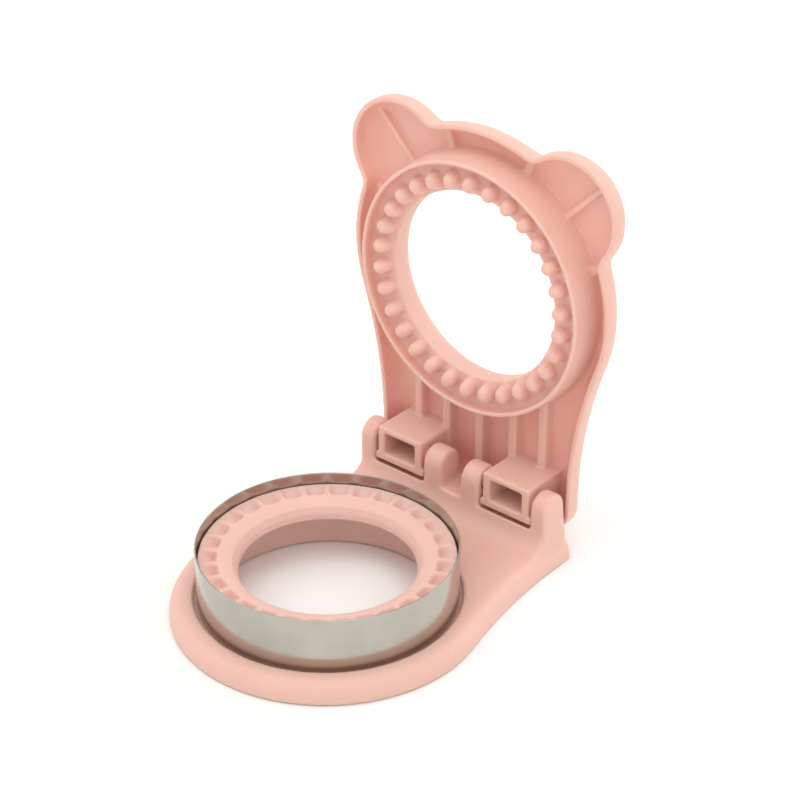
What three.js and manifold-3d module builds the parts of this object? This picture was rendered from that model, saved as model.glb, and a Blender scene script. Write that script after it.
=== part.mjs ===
// Bear-eared dumpling press with a steel cutter ring, lid standing open against its stop.
// Millimetres. +Z is up, +X runs along the hinge and +Y points from the ring to the hinge.
// The origin lies on the table, in the middle of the open press's footprint. The shapes are drawn
// about the axis of the cutter ring and moved there at the end.

import * as THREE from 'three';
import { mergeVertices } from 'three/addons/utils/BufferGeometryUtils.js';
import Module from 'manifold-3d';

const wasm = await Module();
wasm.setup();

// ---- driving dimensions ------------------------------------------------------------------
const RING_RADIUS = 40;          // outside of the steel cutter ring, the size of the wrapper it cuts
const RING_WALL = 0.5;
const RING_TOP = 24;
const GAP = 0.3;                 // clearance between neighbouring pieces
const BEYOND = 100;              // farther than any cut or trimmed part reaches
const SINK = 1;                  // how far joined solids reach into each other

const BASE_RADIUS = 48.5;
const BASE_TOP = 7;
const BASE_NECK_HALF = 40;
const BASE_NECK_ARC = 200;       // radius of the hollow flank between the disc and the hinge
const BASE_ROUND = 5.2;          // how far the rounded shoulder reaches in from the side
const BASE_HOLE = 38.5;          // the forming ring's skirt drops into it
const SEAT_RADIUS = 41.1;        // sunken seat the cutter ring stands in
const SEAT_FLOOR = 5;

const HINGE_Y = 63.3;
const HINGE_Z = 20.2;
const LUG_RADIUS = 5.2;
const LUG_EDGE = 0.8;
const BLOCK_TOP = 13.6;
const INNER_LUG = [4, 11.2];     // from the middle plane outwards
const OUTER_LUG = [31.9, 37.7];
const TRUNNION_RADIUS = 2.3;
const SOCKET_DEPTH = 2.5;

const LID_RADIUS = 49.6;
const LID_RISE = 2;              // the outline of the lid is centred this far beyond the ring
const LID_NECK_HALF = 38.2;
const LID_NECK_ARC = 150;
const LID_TAIL = 12;             // how far the lid reaches past the hinge axis
const LID_CORNER = 7;
const PLATE_BACK = -15.7;        // heights on the lid, zero at the hinge axis, growing inwards
const PLATE_FRONT = -13.3;
const RIM_FRONT = -7;
const RIM_WIDTH = 1.8;
const LID_ROUND = 6;             // soft outer edge of the lid
const EAR = { x: 32.2, y: 32, radius: 18.6, notch: 4.5 };   // about the middle of the disc

const WALL_INNER = 40.7;         // skirt that shears the dough against the cutter ring
const WALL_THICKNESS = 1.3;
const WALL_FRONT = -1.2;
const WALL_DRAFT = 1;            // extra thickness at its root
const PRESS_INNER = 31.2;        // toothed crimping ring filling the space inside the skirt
const PRESS_ROOT = -5;           // floor around the teeth
const HOLE_FLARE = 6.8;          // rounding of the through hole at the back of the lid
const PRESS_TIP = -0.2;
const BASE_BACK = HINGE_Y - RIM_FRONT - GAP;   // the open lid leans against this face
const MIDDLE_Y = (HINGE_Y - PLATE_BACK - BASE_RADIUS) / 2;   // from the base's front to the lid's back
const TOOTH_COUNT = 30;
const TOOTH_PHASE = 0.5;         // the middle plane falls half a pitch away from a tooth
const TOOTH = { middle: 35.2, reach: 3, across: 2.6 };      // half widths, reach along the radius
const TOOTH_NOSE = [[1, 0], [0.96, 0.4], [0.8, 0.74], [0.5, 0.93], [0, 1]];   // [share of width, height]

const RIB_WIDTH = 3.1;
const RIB_FRONT = -9;
const RIB_END = 2.2;             // ribs stop this far inside the outline, within the rim wall
const NECK_RIBS = [-25, -13.3, 0, 13.3, 25];
const EAR_RIB = { height: 2, width: 1.9, notchWidth: 2.8 };
const KNUCKLE = { inside: 12.7, outside: 30.6, bottom: -6.2, top: 6, front: 4.5, wall: 2.6, roof: 2 };
const KNUCKLE_FOOT = { beyond: 1.1, height: 2.4, depth: 4 };

const FORMING_RADIUS = RING_RADIUS - RING_WALL - GAP;
const FORMING_TOP = 20.5;
const FORMING_EDGE = 0.9;        // slope along the outer edge of the crown
const FORMING_HOLE = 27;
const FORMING_LIP = 14.6;        // height of the edge of the funnel
const FORMING_WALL = 2;
const FORMING_SKIRT = 1.7;
const FUNNEL = [[4, 0.9], [1.8, 2], [0.5, 3.8]];   // [distance beyond the hole, depth below the top]
const FUNNEL_EDGE = { width: 3.4, rise: 1.6 };     // underside of the funnel, sloping up outwards
const CREST = { width: 5.5, drop: 0.2 };           // from the funnel's shoulder to the outside
const SCOOP = { radius: 2.4, lift: 0.2 };

const RING_STEPS = TOOTH_COUNT * 3;
const CHORD = 0.06;              // how far a flat facet may stray from the true curve

// ---- solid helpers -----------------------------------------------------------------------
function solid(geometry) {
  const bare = geometry.index ? geometry.toNonIndexed() : geometry.clone();
  bare.deleteAttribute('normal');
  bare.deleteAttribute('uv');
  const merged = mergeVertices(bare, 1e-5);
  return new wasm.Manifold(new wasm.Mesh({
    numProp: 3,
    vertProperties: new Float32Array(merged.attributes.position.array),
    triVerts: new Uint32Array(merged.index.array),
  }));
}

const join = (solids) => solids.reduce((total, next) => total.add(next));
const cut = (body, solids) => solids.reduce((left, next) => left.subtract(next), body);

function piece(name, body, material) {
  const { vertProperties, triVerts } = body.translate([0, -MIDDLE_Y, 0]).getMesh();
  const geometry = new THREE.BufferGeometry();
  geometry.setAttribute('position', new THREE.BufferAttribute(new Float32Array(vertProperties), 3));
  geometry.setIndex(new THREE.BufferAttribute(new Uint32Array(triVerts), 1));
  geometry.computeVertexNormals();
  const mesh = new THREE.Mesh(geometry, material);
  mesh.name = name;
  return mesh;
}

function block(x, y, z) {
  const geometry = new THREE.BoxGeometry(x[1] - x[0], y[1] - y[0], z[1] - z[0]);
  geometry.translate((x[0] + x[1]) / 2, (y[0] + y[1]) / 2, (z[0] + z[1]) / 2);
  return solid(geometry);
}

// A closed [radius, height] profile turned about the Z axis.
function turned(profile, steps = RING_STEPS) {
  const points = profile.map(([radius, height]) => new THREE.Vector2(radius, height));
  const geometry = new THREE.LatheGeometry([...points, points[0]], steps);
  geometry.rotateX(Math.PI / 2);
  return solid(geometry);
}

// A shape drawn out along Z from zero to depth, with its rounded edges inside the outline.
function extruded(shape, depth, edge = 0, edgeSteps = 1) {
  const geometry = new THREE.ExtrudeGeometry(shape, {
    depth: depth - 2 * edge,
    bevelEnabled: edge > 0,
    bevelThickness: edge,
    bevelSize: edge,
    bevelOffset: -edge,
    bevelSegments: edgeSteps,
  });
  geometry.translate(0, 0, edge);
  return geometry;
}

function slab(shape, z, edge = 0, edgeSteps = 1) {
  const geometry = extruded(shape, z[1] - z[0], edge, edgeSteps);
  geometry.translate(0, 0, z[0]);
  return solid(geometry);
}

// A shape drawn in Y (across) and Z (up), drawn out along X.
function alongX(shape, x, edge = 0) {
  const geometry = extruded(shape, x[1] - x[0], edge, 2);
  geometry.translate(0, 0, x[0]);
  geometry.rotateY(Math.PI / 2);
  geometry.rotateX(Math.PI / 2);
  return solid(geometry);
}

function rodAlongX(radius, x, y, z, steps = 24) {
  const geometry = new THREE.CylinderGeometry(radius, radius, x[1] - x[0], steps);
  geometry.rotateZ(Math.PI / 2);
  geometry.translate((x[0] + x[1]) / 2, y, z);
  return solid(geometry);
}

// One solid for each tooth, made by turning the geometry for angle zero about the Z axis.
function aroundTheRing(make) {
  return Array.from({ length: TOOTH_COUNT }, (_, i) => {
    const geometry = make();
    geometry.rotateZ((i + TOOTH_PHASE) * 2 * Math.PI / TOOTH_COUNT);
    return solid(geometry);
  });
}

const mirrored = ([near, far], side) => (side > 0 ? [near, far] : [-far, -near]);
const SIDES = [-1, 1];

// ---- outlines ----------------------------------------------------------------------------
// Facets needed for one full turn of the given radius.
const turnSteps = (radius) => Math.ceil(Math.PI / Math.acos(1 - CHORD / Math.max(radius, 4 * CHORD)));

// Adds an arc to a shape, taking the short facets its radius needs; clockwise if to < from.
function arc(shape, x, y, radius, from, to) {
  const steps = Math.max(2, Math.ceil(turnSteps(radius) * Math.abs(to - from) / (2 * Math.PI)));
  for (let i = 0; i <= steps; i += 1) {
    const angle = from + (to - from) * i / steps;
    const point = [x + radius * Math.cos(angle), y + radius * Math.sin(angle)];
    if (shape.curves.length === 0 && i === 0) {
      shape.moveTo(...point);
    } else if (Math.hypot(point[0] - shape.currentPoint.x, point[1] - shape.currentPoint.y) > 1e-4) {
      shape.lineTo(...point);
    }
  }
}

// A disc about the origin with a neck running down to y = -length, moved in by inset all round.
// With ears, two round ears stand on the far side, blended into the disc by hollow notches.
function neckedDisc({ radius, neckHalf, neckArc, length, corner = 0, ears = null }, inset = 0) {
  const flankX = neckHalf + neckArc;
  const flankY = -Math.sqrt((radius + neckArc) ** 2 - flankX ** 2);
  const meet = Math.atan2(-flankY, flankX);
  const shape = new THREE.Shape();
  const bottom = -length + inset;
  const round = Math.max(corner - inset, 0);
  const side = neckHalf - inset;
  if (round > 0) {
    arc(shape, side - round, bottom + round, round, -Math.PI / 2, 0);
  } else {
    shape.moveTo(side, bottom);
  }
  arc(shape, flankX, flankY, neckArc + inset, Math.PI, Math.PI - meet);
  if (ears) {
    drawEars(shape, radius, ears, inset, meet);
  } else {
    arc(shape, 0, 0, radius - inset, -meet, Math.PI + meet);
  }
  arc(shape, -flankX, flankY, neckArc + inset, meet, 0);
  if (round > 0) {
    arc(shape, -side + round, bottom + round, round, Math.PI, 1.5 * Math.PI);
  } else {
    shape.lineTo(-side, bottom);
  }
  shape.closePath();
  return shape;
}

// The two points at the given distances from the disc centre and from the ear centre.
function notchCentres(radius, ear) {
  const span = Math.hypot(ear.x, ear.y);
  const near = radius + ear.notch;
  const far = ear.radius + ear.notch;
  const along = (near ** 2 - far ** 2 + span ** 2) / (2 * span);
  const across = Math.sqrt(near ** 2 - along ** 2);
  const [ux, uy] = [ear.x / span, ear.y / span];
  return {
    lower: { x: ux * along + uy * across, y: uy * along - ux * across },
    upper: { x: ux * along - uy * across, y: uy * along + ux * across },
  };
}

function drawEars(shape, radius, ear, inset, meet) {
  const { lower, upper } = notchCentres(radius, ear);
  const fromDisc = (point) => Math.atan2(point.y, point.x);
  const fromEar = (point) => Math.atan2(point.y - ear.y, point.x - ear.x);
  const disc = radius - inset;
  const notch = ear.notch + inset;
  const ears = ear.radius - inset;
  arc(shape, 0, 0, disc, -meet, fromDisc(lower));
  arc(shape, lower.x, lower.y, notch, Math.PI + fromDisc(lower), Math.PI + fromEar(lower));
  arc(shape, ear.x, ear.y, ears, fromEar(lower), fromEar(upper));
  arc(shape, upper.x, upper.y, notch, Math.PI + fromEar(upper), Math.PI + fromDisc(upper));
  arc(shape, 0, 0, disc, fromDisc(upper), Math.PI - fromDisc(upper));
  arc(shape, -upper.x, upper.y, notch, -fromDisc(upper), -fromEar(upper));
  arc(shape, -ear.x, ear.y, ears, Math.PI - fromEar(upper), Math.PI - fromEar(lower));
  arc(shape, -lower.x, lower.y, notch, -fromEar(lower), -fromDisc(lower));
  arc(shape, 0, 0, disc, Math.PI - fromDisc(lower), Math.PI + meet);
}

// ---- base --------------------------------------------------------------------------------
function baseSlab() {
  const outline = neckedDisc({
    radius: BASE_RADIUS, neckHalf: BASE_NECK_HALF, neckArc: BASE_NECK_ARC, length: BEYOND,
  });
  const whole = slab(outline, [BASE_TOP - 3 * BASE_ROUND, BASE_TOP], BASE_ROUND, 6);
  const turnedRound = whole.rotate([0, 0, 180]);
  const keep = block([-BEYOND, BEYOND], [-BEYOND, BASE_BACK], [0, BEYOND]);
  return turnedRound.intersect(keep);
}

// The raised strip the lugs stand on: rounded at both ends, swept up out of the base in front.
function hingeBlock() {
  const front = HINGE_Y - LUG_RADIUS;
  const back = BASE_BACK;
  const rise = BLOCK_TOP - BASE_TOP;
  const side = new THREE.Shape();
  side.moveTo(back, 0);
  side.lineTo(back, BLOCK_TOP);
  side.lineTo(front, BLOCK_TOP);
  arc(side, front - rise, BLOCK_TOP, rise, 0, -Math.PI / 2);
  side.lineTo(front - rise, 0);
  side.closePath();
  const end = new THREE.Shape();
  const half = OUTER_LUG[1];
  const round = half - OUTER_LUG[0];
  end.moveTo(-BASE_NECK_HALF, 0);
  end.lineTo(BASE_NECK_HALF, 0);
  end.lineTo(half, BLOCK_TOP - round);
  arc(end, half - round, BLOCK_TOP - round, round, 0, Math.PI / 2);
  arc(end, round - half, BLOCK_TOP - round, round, Math.PI / 2, Math.PI);
  end.closePath();
  const geometry = extruded(end, BEYOND);
  geometry.rotateX(Math.PI / 2);
  geometry.translate(0, HINGE_Y + BEYOND / 2, 0);
  return alongX(side, [-BASE_NECK_HALF, BASE_NECK_HALF]).intersect(solid(geometry));
}

function lug(x) {
  const shape = new THREE.Shape();
  shape.moveTo(HINGE_Y - LUG_RADIUS, SEAT_FLOOR);
  shape.lineTo(BASE_BACK, SEAT_FLOOR);
  shape.lineTo(BASE_BACK, BASE_TOP);
  arc(shape, HINGE_Y, HINGE_Z, LUG_RADIUS, 0, Math.PI);
  shape.closePath();
  return alongX(shape, x, LUG_EDGE);
}

function socket(x) {
  return rodAlongX(TRUNNION_RADIUS + GAP, x, HINGE_Y, HINGE_Z);
}

function base(material) {
  const lugs = SIDES.flatMap((side) => [lug(mirrored(INNER_LUG, side)), lug(mirrored(OUTER_LUG, side))]);
  const sockets = SIDES.flatMap((side) => [
    socket(mirrored([INNER_LUG[1] - SOCKET_DEPTH, INNER_LUG[1] + SINK], side)),
    socket(mirrored([OUTER_LUG[0] - SINK, OUTER_LUG[0] + SOCKET_DEPTH], side)),
  ]);
  const swing = Math.hypot(LUG_RADIUS, KNUCKLE.bottom) + 2 * GAP;
  const pockets = SIDES.map((side) => rodAlongX(
    swing, mirrored([INNER_LUG[1], OUTER_LUG[0]], side), HINGE_Y, HINGE_Z, 48,
  ));
  const seat = turned([[BASE_HOLE, -BEYOND], [BASE_HOLE, SEAT_FLOOR], [SEAT_RADIUS, SEAT_FLOOR],
    [SEAT_RADIUS, BEYOND], [0, BEYOND], [0, -BEYOND]]);
  const body = cut(join([baseSlab(), hingeBlock()]), [...pockets, seat]);
  return piece('base', cut(join([body, ...lugs]), sockets), material);
}

// ---- rings on the base -------------------------------------------------------------------
function cutterRing(material) {
  const foot = SEAT_FLOOR + GAP;
  const inner = RING_RADIUS - RING_WALL;
  return piece('cutter_ring', turned([
    [inner, foot], [RING_RADIUS, foot], [RING_RADIUS, RING_TOP], [inner, RING_TOP],
  ]), material);
}

// Thin moulded funnel with a crown of round scoops and a skirt that drops into the base.
function formingRing(material) {
  const shelf = SEAT_FLOOR + GAP;
  const crest = FORMING_RADIUS - CREST.width;
  const skirt = BASE_HOLE - GAP;
  const inner = skirt - FORMING_SKIRT;
  const body = turned([
    [inner, GAP],
    [skirt, GAP],
    [skirt, shelf],
    [FORMING_RADIUS, shelf],
    [FORMING_RADIUS, FORMING_TOP - FORMING_EDGE],
    [FORMING_RADIUS - FORMING_EDGE, FORMING_TOP],
    [crest, FORMING_TOP - CREST.drop],
    ...FUNNEL.map(([beyond, depth]) => [FORMING_HOLE + beyond, FORMING_TOP - depth]),
    [FORMING_HOLE, FORMING_LIP],
    [FORMING_HOLE + FORMING_WALL, FORMING_LIP],
    [FORMING_HOLE + FUNNEL_EDGE.width, FORMING_LIP + FUNNEL_EDGE.rise],
    [inner, FORMING_LIP + FUNNEL_EDGE.rise],
  ]);
  const scoops = aroundTheRing(() => {
    const geometry = new THREE.SphereGeometry(SCOOP.radius, 12, 6);
    geometry.translate(crest + SCOOP.radius, 0, FORMING_TOP + SCOOP.lift);
    return geometry;
  });
  return piece('forming_ring', cut(body, scoops), material);
}

// ---- lid ---------------------------------------------------------------------------------
// Drawn lying on its back: x along the hinge, y away from the hinge, z towards the inside.
const LID_OUTLINE = {
  radius: LID_RADIUS,
  neckHalf: LID_NECK_HALF,
  neckArc: LID_NECK_ARC,
  length: HINGE_Y + LID_RISE + LID_TAIL,
  corner: LID_CORNER,
  ears: EAR,
};

function lidShell() {
  const beyond = 4 * LID_ROUND;
  const outside = slab(neckedDisc(LID_OUTLINE), [PLATE_BACK, PLATE_BACK + beyond], LID_ROUND, 4);
  const hollow = slab(
    neckedDisc(LID_OUTLINE, RIM_WIDTH), [PLATE_FRONT, PLATE_FRONT + beyond], LID_ROUND - RIM_WIDTH, 3,
  );
  const keep = block([-BEYOND, BEYOND], [-BEYOND, BEYOND], [-BEYOND, RIM_FRONT]);
  return outside.subtract(hollow).intersect(keep).translate([0, LID_RISE, 0]);
}

function pressRings() {
  const root = PLATE_FRONT - SINK;
  const outer = WALL_INNER + WALL_THICKNESS;
  const middle = WALL_INNER + WALL_THICKNESS / 2;
  const skirt = turned([
    [WALL_INNER, root], [outer + WALL_DRAFT, root], [outer, WALL_FRONT - WALL_DRAFT],
    [outer, WALL_FRONT], [WALL_INNER, WALL_FRONT],
  ]);
  const floor = turned([
    [PRESS_INNER, root], [middle, root], [middle, PRESS_ROOT], [PRESS_INNER, PRESS_ROOT],
  ]);
  return [skirt, floor, ...pressTeeth()];
}

// Separate round-nosed teeth standing on the floor between the hole and the skirt.
function pressTeeth() {
  const height = PRESS_TIP - PRESS_ROOT;
  const nose = TOOTH_NOSE.map(([wide, high]) => new THREE.Vector2(wide, high * height));
  const profile = [new THREE.Vector2(0, -SINK), new THREE.Vector2(1, -SINK), ...nose];
  return aroundTheRing(() => {
    const geometry = new THREE.LatheGeometry(profile, 12);
    geometry.rotateX(Math.PI / 2);
    geometry.scale(TOOTH.reach, TOOTH.across, 1);
    geometry.translate(TOOTH.middle, 0, PRESS_ROOT);
    return geometry;
  });
}

function throughHole() {
  const steps = 4;
  const rounded = Array.from({ length: steps + 1 }, (_, i) => {
    const angle = Math.PI / 2 * i / steps;
    const [inward, forward] = [1 - Math.sin(angle), 1 - Math.cos(angle)];
    return [PRESS_INNER + HOLE_FLARE * inward, PLATE_BACK + HOLE_FLARE * forward];
  });
  return turned([
    [0, -BEYOND], [PRESS_INNER + HOLE_FLARE, -BEYOND], ...rounded, [PRESS_INNER, BEYOND], [0, BEYOND],
  ]);
}

// A flat rib from one point of the lid to another, both given about the ring centre.
function rib(from, to, width, front) {
  const length = Math.hypot(to[0] - from[0], to[1] - from[1]);
  const angle = Math.atan2(to[1] - from[1], to[0] - from[0]);
  const root = PLATE_FRONT - SINK;
  const geometry = new THREE.BoxGeometry(length, width, front - root);
  geometry.translate(length / 2, 0, (front + root) / 2);
  geometry.rotateZ(angle);
  geometry.translate(from[0], from[1], 0);
  return solid(geometry);
}

function neckRibs() {
  const wall = WALL_INNER + WALL_THICKNESS / 2;
  const foot = -HINGE_Y - LID_TAIL + RIB_END;
  return NECK_RIBS.map((x) => rib([x, foot], [x, -Math.sqrt(wall ** 2 - x ** 2)], RIB_WIDTH, RIB_FRONT));
}

// One rib across each ear and one at either notch beside it, running to the skirt.
function earRibs() {
  const { lower, upper } = notchCentres(LID_RADIUS, EAR);
  const front = PLATE_FRONT + EAR_RIB.height;
  const ear = Math.hypot(EAR.x, EAR.y);
  const ends = [
    { toward: EAR, reach: ear + EAR.radius - RIB_END, width: EAR_RIB.width },
    { toward: lower, reach: LID_RADIUS - RIB_END, width: EAR_RIB.notchWidth },
    { toward: upper, reach: LID_RADIUS - RIB_END, width: EAR_RIB.notchWidth },
  ];
  return SIDES.flatMap((side) => ends.map(({ toward, reach, width }) => {
    const scale = reach / Math.hypot(toward.x, toward.y);
    const outer = [side * toward.x * scale, toward.y * scale + LID_RISE];
    const inward = (WALL_INNER + WALL_THICKNESS) / Math.hypot(...outer);
    return rib([outer[0] * inward, outer[1] * inward], outer, width, front);
  }));
}

// Hollow hinge knuckle, open to the front, with a wider foot and a trunnion on either side.
function knuckle(side) {
  const { inside, outside, bottom, top, front, wall, roof } = KNUCKLE;
  const level = (height) => height - HINGE_Y;
  const shell = block(
    mirrored([inside, outside], side), [level(bottom), level(top)], [PLATE_FRONT - SINK, front],
  );
  const foot = block(
    mirrored([inside - KNUCKLE_FOOT.beyond, outside + KNUCKLE_FOOT.beyond], side),
    [level(bottom), level(bottom) + KNUCKLE_FOOT.height],
    [front - KNUCKLE_FOOT.depth, front],
  );
  const reach = SOCKET_DEPTH - GAP;
  const ends = mirrored([INNER_LUG[1] - reach, OUTER_LUG[0] + reach], side);
  const pin = rodAlongX(TRUNNION_RADIUS, ends, -HINGE_Y, 0);
  const window = block(
    mirrored([inside + wall, outside - wall], side),
    [level(bottom) + wall, level(top) - roof],
    [PLATE_FRONT, BEYOND],
  );
  return { solid: join([shell, foot, pin]), window };
}

function lid(material) {
  const knuckles = SIDES.map(knuckle);
  const bodies = knuckles.map((k) => k.solid);
  const whole = join([lidShell(), ...pressRings(), ...neckRibs(), ...earRibs(), ...bodies]);
  const opened = cut(whole, [throughHole(), ...knuckles.map((k) => k.window)]);
  const upright = opened.translate([0, HINGE_Y, 0]).rotate([90, 0, 0]).translate([0, HINGE_Y, HINGE_Z]);
  return piece('lid', upright, material);
}

// ---- the press ---------------------------------------------------------------------------
const plastic = (name, colour) => {
  const material = new THREE.MeshStandardMaterial({ color: colour, roughness: 0.45, metalness: 0 });
  material.name = name;
  return material;
};

const steel = new THREE.MeshStandardMaterial({ color: 0xc9c9c4, roughness: 0.18, metalness: 1 });
steel.name = 'polished_steel';

const press = new THREE.Group();
press.name = 'dumpling_press';
press.add(base(plastic('pink_base', 0xeeb4a6)));
press.add(formingRing(plastic('pale_pink_ring', 0xf2c9bf)));
press.add(cutterRing(steel));
press.add(lid(plastic('pink_lid', 0xeeb4a6)));

export default press;
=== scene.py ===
"""Bear-eared dumpling press: two pink mouldings, a paler forming ring and a steel cutter ring.

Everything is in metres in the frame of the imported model. Radii and heights come from the boxes
of the CAD nodes, and the few sizes a box can't give are named below.
"""

import math

import bmesh
import bpy
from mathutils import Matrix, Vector


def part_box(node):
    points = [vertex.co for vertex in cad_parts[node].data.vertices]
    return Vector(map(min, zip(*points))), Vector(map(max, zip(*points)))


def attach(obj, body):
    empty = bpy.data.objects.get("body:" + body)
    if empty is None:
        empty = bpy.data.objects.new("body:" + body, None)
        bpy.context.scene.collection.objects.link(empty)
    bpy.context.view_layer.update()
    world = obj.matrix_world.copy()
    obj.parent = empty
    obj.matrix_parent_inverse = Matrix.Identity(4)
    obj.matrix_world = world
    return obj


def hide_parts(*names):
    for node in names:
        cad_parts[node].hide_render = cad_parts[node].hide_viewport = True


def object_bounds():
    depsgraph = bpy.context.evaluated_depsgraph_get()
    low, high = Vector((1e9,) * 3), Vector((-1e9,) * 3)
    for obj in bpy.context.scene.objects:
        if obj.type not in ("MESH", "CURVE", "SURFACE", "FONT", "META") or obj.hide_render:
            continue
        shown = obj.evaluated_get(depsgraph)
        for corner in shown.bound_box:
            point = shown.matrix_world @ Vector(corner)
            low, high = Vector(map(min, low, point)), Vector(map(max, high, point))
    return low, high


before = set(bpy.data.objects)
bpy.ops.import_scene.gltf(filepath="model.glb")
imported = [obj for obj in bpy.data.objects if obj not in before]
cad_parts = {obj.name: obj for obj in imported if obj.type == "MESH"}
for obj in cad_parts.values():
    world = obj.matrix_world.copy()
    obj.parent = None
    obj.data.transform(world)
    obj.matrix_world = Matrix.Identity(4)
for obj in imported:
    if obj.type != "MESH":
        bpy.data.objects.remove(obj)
cad_box = [list(corner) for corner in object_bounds()]

MM = 0.001

RING_LOW, RING_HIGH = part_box("cutter_ring")
FORM_LOW, FORM_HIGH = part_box("forming_ring")

RING_AXIS = (RING_LOW + RING_HIGH) / 2
RING_RADIUS = (RING_HIGH.y - RING_LOW.y) / 2
FORM_RADIUS = (FORM_HIGH.y - FORM_LOW.y) / 2
MIDDLE = (Vector(cad_box[0]) + Vector(cad_box[1])) / 2

TOOTH_COUNT = 30
PITCH = 2 * math.pi / TOOTH_COUNT
TOOTH_PHASE = 0.5

STEEL = {"wall": 0.5 * MM, "edge": 0.12 * MM, "steps": 360}
SKIRT = {"inner": 36.5 * MM, "outer": 38.2 * MM}      # the forming ring's, inside the base's hole
CROWN = {"width": 5.5 * MM, "drop": 0.2 * MM, "edge": 0.7 * MM, "steps_per_tooth": 20}
CROWN["corner"] = 0.3 * CROWN["edge"]                 # how far the edge is rounded at its middle
FUNNEL = {"hole": 27 * MM, "depth": 5.9 * MM, "wall": 2 * MM, "edge": 0.4 * MM}
FUNNEL_CURVE = ((4 * MM, 0.9 * MM), (1.8 * MM, 2 * MM), (0.5 * MM, 3.8 * MM))   # beyond hole, below top
FUNNEL_UNDERSIDE = {"beyond": 3.4 * MM, "rise": 1.6 * MM}
PROFILE_SPACING = 0.4 * MM
CUP = {
    "depth": 2.7 * MM,
    "across": (0.15, 0.45),                # shares of the pitch from the middle: full depth, none
    "inner_end": (-0.6 * MM, 1.1 * MM),    # from the crest outwards: none, full depth
    "slope_start": 1.2 * MM,               # from the crest outwards
    "outer_end": (-1.2 * MM, -0.1 * MM),   # from the outside: full depth, none
    "heights": (-4.2 * MM, -1.5 * MM),     # from the top: none, full depth
    "shallower": 0.55,                     # share of the depth lost along the slope
}
BASE_SKIN = {"voxel": 0.4 * MM, "passes": 24}
LID_SKIN = {"voxel": 0.38 * MM, "passes": 9}

SOFTBOXES = {   # azimuth, elevation, size in metres, power in watts
    "key": (62, 48, 0.55, 0.9),
    "left": (-60, 50, 0.55, 0.9),
    "top": (20, 84, 0.8, 2.2),
    "behind": (165, 30, 0.7, 1.8),
}
SOFTBOX_DISTANCE = 1.0
DAYLIGHT = {"colour": (1, 0.985, 0.955, 1), "strength": 0.88}
FLOOR = {"size": 3, "drop": 0.2 * MM}
CAMERA = {"azimuth": 40.302, "elevation": 30.602, "sensor": 36, "lens": 109.54}
CAMERA_DISTANCE = 19.814 * RING_RADIUS
CAMERA_AIM = RING_RADIUS * Vector((-0.7879, 1.7729, 0))   # from the ring's axis
CAMERA_AIM_HEIGHT = 0.75 * RING_RADIUS


# ---- meshes ------------------------------------------------------------------------------
def new_object(name, mesh):
    piece = bpy.data.objects.new(name, mesh)
    bpy.context.scene.collection.objects.link(piece)
    return piece


def object_from(name, build):
    mesh = bpy.data.meshes.new(name)
    work = bmesh.new()
    build(work)
    bmesh.ops.recalc_face_normals(work, faces=work.faces)
    work.to_mesh(mesh)
    work.free()
    return new_object(name, mesh)


def smooth_shaded(piece):
    for polygon in piece.data.polygons:
        polygon.use_smooth = True
    return piece


def apply_modifiers(piece):
    bpy.context.view_layer.update()
    evaluated = piece.evaluated_get(bpy.context.evaluated_depsgraph_get())
    finished = bpy.data.meshes.new_from_object(evaluated)
    piece.modifiers.clear()
    piece.data = finished
    return smooth_shaded(piece)


def moulded(piece, voxel, passes):
    """Fuses overlapping solids into one skin and rounds every edge and inside corner."""
    fuse = piece.modifiers.new("fuse", "REMESH")
    fuse.mode = "VOXEL"
    fuse.voxel_size = voxel
    soften = piece.modifiers.new("soften", "SMOOTH")
    soften.factor = 0.5
    soften.iterations = passes
    return apply_modifiers(piece)


def lathe(work, profile, steps, centre, height_change=None):
    """Turns a closed (radius, height) profile about a vertical axis through centre."""
    rings = []
    for step in range(steps):
        angle = 2 * math.pi * step / steps
        ring = []
        for radius, height in profile:
            if height_change:
                height += height_change(angle, radius, height)
            ring.append(work.verts.new((
                centre.x + radius * math.cos(angle),
                centre.y + radius * math.sin(angle),
                height,
            )))
        rings.append(ring)
    count = len(profile)
    for step in range(steps):
        here, after = rings[step], rings[(step + 1) % steps]
        for i in range(count):
            j = (i + 1) % count
            work.faces.new((here[i], here[j], after[j], after[i]))


def smoothstep(value, start, end):
    t = min(max((value - start) / (end - start), 0), 1)
    return t * t * (3 - 2 * t)


def dense(profile, spacing):
    """Adds points along a closed profile so that neighbours are about spacing apart."""
    points = []
    for (r0, z0), (r1, z1) in zip(profile, profile[1:] + profile[:1]):
        parts = max(1, math.ceil(math.hypot(r1 - r0, z1 - z0) / spacing))
        points += [(r0 + (r1 - r0) * i / parts, z0 + (z1 - z0) * i / parts) for i in range(parts)]
    return points


# ---- the four pieces ---------------------------------------------------------------------
def cutter_ring():
    """A thin steel strip rolled into a ring, with its sheared edges just broken."""
    edge = STEEL["edge"]
    foot, top = RING_LOW.z, RING_HIGH.z
    inner, outer = RING_RADIUS - STEEL["wall"], RING_RADIUS
    profile = [
        (inner + edge, foot), (outer - edge, foot), (outer, foot + edge), (outer, top - edge),
        (outer - edge, top), (inner + edge, top), (inner, top - edge), (inner, foot + edge),
    ]
    piece = object_from("steel_ring", lambda work: lathe(work, profile, STEEL["steps"], RING_AXIS))
    smooth_shaded(piece)
    piece.modifiers.new("normals", "WEIGHTED_NORMAL")
    return apply_modifiers(piece)


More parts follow.
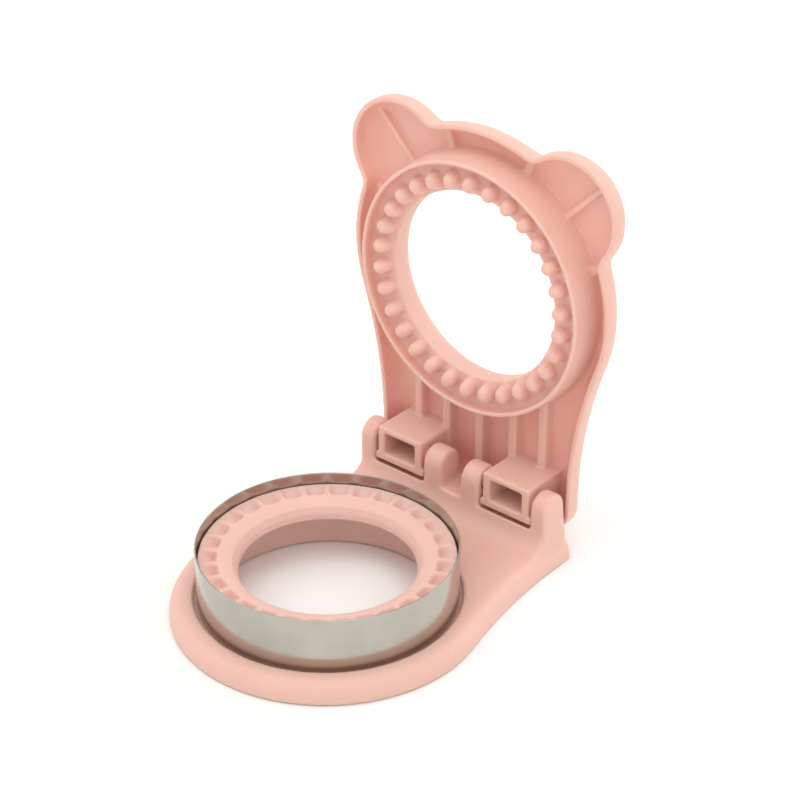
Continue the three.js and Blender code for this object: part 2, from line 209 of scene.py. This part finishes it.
def forming_profile():
    """Cross-section of the forming ring: skirt, flange on the seat, crown and funnel."""
    foot, shelf, top = FORM_LOW.z, RING_LOW.z, FORM_HIGH.z
    outer, crest = FORM_RADIUS, FORM_RADIUS - CROWN["width"]
    hole, lip = FUNNEL["hole"], top - FUNNEL["depth"]
    edge, corner = CROWN["edge"], CROWN["corner"]
    return dense([
        (SKIRT["inner"], foot), (SKIRT["outer"], foot), (SKIRT["outer"], shelf), (outer, shelf),
        (outer, top - edge), (outer - corner, top - corner), (outer - edge, top),
        (crest, top - CROWN["drop"]),
        *((hole + beyond, top - below) for beyond, below in FUNNEL_CURVE),
        (hole, lip + FUNNEL["edge"]), (hole + FUNNEL["edge"], lip), (hole + FUNNEL["wall"], lip),
        (hole + FUNNEL_UNDERSIDE["beyond"], lip + FUNNEL_UNDERSIDE["rise"]),
        (SKIRT["inner"], lip + FUNNEL_UNDERSIDE["rise"]),
    ], PROFILE_SPACING)


def scallop(angle, radius, height):
    """Height change that presses the cups into the crown: steep inside, running out to the edge."""
    top, crest, outer = FORM_HIGH.z, FORM_RADIUS - CROWN["width"], FORM_RADIUS
    turn = angle / PITCH - TOOTH_PHASE
    across = 1 - smoothstep(abs(turn - round(turn)), *CUP["across"])
    inner_end = smoothstep(radius, *(crest + reach for reach in CUP["inner_end"]))
    outwards = smoothstep(radius, crest + CUP["slope_start"], outer + CUP["outer_end"][0])
    slope = 1 - CUP["shallower"] * outwards
    outer_end = 1 - smoothstep(radius, *(outer + reach for reach in CUP["outer_end"]))
    near_top = smoothstep(height, *(top + reach for reach in CUP["heights"]))
    return -CUP["depth"] * across * inner_end * slope * outer_end * near_top


def forming_ring():
    """A moulded funnel with a crown of rounded scallops around its rim."""
    def sweep(work):
        lathe(work, forming_profile(), TOOTH_COUNT * CROWN["steps_per_tooth"], RING_AXIS, scallop)

    piece = object_from("scalloped_ring", sweep)
    piece.modifiers.new("soften", "SMOOTH").iterations = 2
    return apply_modifiers(piece)


def copy_of(node, name):
    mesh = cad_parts[node].data.copy()
    mesh.materials.clear()
    return new_object(name, mesh)


def base():
    return moulded(copy_of("base", "base_moulding"), **BASE_SKIN)


def lid():
    return moulded(copy_of("lid", "lid_moulding"), **LID_SKIN)


# ---- materials ---------------------------------------------------------------------------
def material(name):
    made = bpy.data.materials.new(name)
    made.use_nodes = True
    return made, made.node_tree.nodes, made.node_tree.links, made.node_tree.nodes["Principled BSDF"]


def noise(nodes, links, vector, scale, detail, roughness=0.5):
    texture = nodes.new("ShaderNodeTexNoise")
    texture.inputs["Scale"].default_value = scale
    texture.inputs["Detail"].default_value = detail
    texture.inputs["Roughness"].default_value = roughness
    links.new(vector, texture.inputs["Vector"])
    return texture.outputs["Fac"]


def ranged(nodes, links, value, low, high, from_low=0.0, from_high=1.0):
    spread = nodes.new("ShaderNodeMapRange")
    spread.inputs["From Min"].default_value = from_low
    spread.inputs["From Max"].default_value = from_high
    spread.inputs["To Min"].default_value = low
    spread.inputs["To Max"].default_value = high
    links.new(value, spread.inputs["Value"])
    return spread.outputs["Result"]


def colour_mix(nodes, links, factor, first, second):
    mix = nodes.new("ShaderNodeMix")
    mix.data_type = "RGBA"
    links.new(factor, mix.inputs["Factor"])
    for socket, value in ((mix.inputs["A"], first), (mix.inputs["B"], second)):
        if isinstance(value, tuple):
            socket.default_value = (*value, 1)
        else:
            links.new(value, socket)
    return mix.outputs["Result"]


def bump(nodes, links, height, distance, strength, normal=None):
    node = nodes.new("ShaderNodeBump")
    node.inputs["Distance"].default_value = distance
    node.inputs["Strength"].default_value = strength
    links.new(height, node.inputs["Height"])
    if normal:
        links.new(normal, node.inputs["Normal"])
    return node.outputs["Normal"]


def moulded_plastic(name, colour, worn, depth):
    """Satin polypropylene: fine spark texture, faint flow marks, light wear on the edges."""
    made, nodes, links, shader = material(name)
    place = nodes.new("ShaderNodeTexCoord").outputs["Object"]
    flow = noise(nodes, links, place, scale=28, detail=3)
    cloud = ranged(nodes, links, flow, low=0, high=1, from_low=0.3, from_high=0.7)
    deeper = tuple(channel * 0.965 for channel in colour)
    tint = colour_mix(nodes, links, cloud, colour, deeper)
    edge = nodes.new("ShaderNodeNewGeometry").outputs["Pointiness"]
    wear = ranged(nodes, links, edge, low=0, high=0.4, from_low=0.53, from_high=0.62)
    links.new(colour_mix(nodes, links, wear, tint, worn), shader.inputs["Base Color"])
    grain = noise(nodes, links, place, scale=2600, detail=4, roughness=0.6)
    patches = noise(nodes, links, place, scale=90, detail=4)
    links.new(ranged(nodes, links, patches, low=0.4, high=0.54), shader.inputs["Roughness"])
    fine = bump(nodes, links, grain, distance=0.03 * MM, strength=0.35)
    uneven = bump(nodes, links, flow, distance=0.25 * MM, strength=0.12, normal=fine)
    links.new(uneven, shader.inputs["Normal"])
    shader.inputs["IOR"].default_value = 1.49
    shader.inputs["Specular IOR Level"].default_value = 0.42
    shader.inputs["Subsurface Weight"].default_value = depth
    shader.inputs["Subsurface Radius"].default_value = (1.0, 0.42, 0.3)
    shader.inputs["Subsurface Scale"].default_value = 5 * MM
    return made


def polished_steel():
    """Rolled stainless strip: fine lines run around the ring, with faint smudges over them."""
    made, nodes, links, shader = material("polished_steel")
    place = nodes.new("ShaderNodeTexCoord").outputs["Object"]
    stretch = nodes.new("ShaderNodeMapping")
    stretch.inputs["Scale"].default_value = (12, 12, 5000)
    links.new(place, stretch.inputs["Vector"])
    lines = noise(nodes, links, stretch.outputs["Vector"], scale=1, detail=3)
    smudge = noise(nodes, links, place, scale=70, detail=5, roughness=0.6)
    film = ranged(nodes, links, smudge, low=0, high=1, from_low=0.35, from_high=0.7)
    tone = colour_mix(nodes, links, film, (0.5, 0.485, 0.43), (0.43, 0.415, 0.37))
    links.new(tone, shader.inputs["Base Color"])
    dull = ranged(nodes, links, smudge, low=0.1, high=0.24, from_low=0.3, from_high=0.75)
    links.new(dull, shader.inputs["Roughness"])
    rolled = bump(nodes, links, lines, distance=0.01 * MM, strength=0.25)
    links.new(rolled, shader.inputs["Normal"])
    shader.inputs["Metallic"].default_value = 1
    shader.inputs["Anisotropic"].default_value = 0.4
    return made


def paper_white():
    made, nodes, links, shader = material("studio_floor")
    place = nodes.new("ShaderNodeTexCoord").outputs["Object"]
    cloud = noise(nodes, links, place, scale=5, detail=2)
    shade = colour_mix(nodes, links, cloud, (0.95, 0.95, 0.95), (0.93, 0.93, 0.93))
    links.new(shade, shader.inputs["Base Color"])
    shader.inputs["Roughness"].default_value = 0.85
    return made


# ---- stage -------------------------------------------------------------------------------
def floor():
    def sheet(work):
        bmesh.ops.create_grid(work, x_segments=4, y_segments=4, size=FLOOR["size"])
        bmesh.ops.translate(work, verts=work.verts, vec=(0, 0, -FLOOR["drop"]))

    piece = object_from("floor", sheet)
    piece.data.materials.append(paper_white())


def aimed(obj, target):
    obj.rotation_euler = (target - obj.location).to_track_quat("-Z", "Y").to_euler()


def softbox(name, azimuth, elevation, size, power):
    data = bpy.data.lights.new(name, "AREA")
    data.shape = "DISK"
    data.size = size
    data.energy = power
    lamp = bpy.data.objects.new(name, data)
    bpy.context.scene.collection.objects.link(lamp)
    lamp.location = around(azimuth, elevation, SOFTBOX_DISTANCE, MIDDLE)
    aimed(lamp, MIDDLE)


def around(azimuth, elevation, distance, target):
    """A point at that bearing from the target; azimuth 0 is on the -Y side, looking along +Y."""
    a, e = math.radians(azimuth), math.radians(elevation)
    reach = Vector((math.sin(a) * math.cos(e), -math.cos(a) * math.cos(e), math.sin(e)))
    return target + reach * distance


def studio():
    world = bpy.data.worlds.new("studio")
    world.use_nodes = True
    background = world.node_tree.nodes["Background"]
    background.inputs["Color"].default_value = DAYLIGHT["colour"]
    background.inputs["Strength"].default_value = DAYLIGHT["strength"]
    bpy.context.scene.world = world
    for name, (azimuth, elevation, size, power) in SOFTBOXES.items():
        softbox(name, azimuth, elevation, size, power)
    bpy.context.scene.view_settings.view_transform = "Standard"


def camera():
    """The photograph's view, given from the ring so that it stays put when other parts change."""
    aim = RING_AXIS + CAMERA_AIM
    aim.z = CAMERA_AIM_HEIGHT
    data = bpy.data.cameras.new("camera")
    data.sensor_width = CAMERA["sensor"]
    data.lens = CAMERA["lens"]
    view = bpy.data.objects.new("camera", data)
    bpy.context.scene.collection.objects.link(view)
    view.location = around(CAMERA["azimuth"], CAMERA["elevation"], CAMERA_DISTANCE, aim)
    aimed(view, aim)
    bpy.context.scene.camera = view


# ---- putting it together -----------------------------------------------------------------
def placed(piece, node, body, finish):
    piece.data.materials.clear()
    piece.data.materials.append(finish)
    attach(piece, body)
    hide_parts(node)


def build():
    pink = moulded_plastic("pink_plastic", (0.82, 0.515, 0.44), (0.91, 0.63, 0.56), 0.45)
    pale = moulded_plastic("pale_pink_plastic", (0.81, 0.525, 0.46), (0.91, 0.66, 0.59), 0.35)
    placed(base(), "base", "press_base", pink)
    placed(forming_ring(), "forming_ring", "press_base", pale)
    placed(cutter_ring(), "cutter_ring", "press_base", polished_steel())
    placed(lid(), "lid", "press_lid", pink)


build()
floor()
studio()
camera()
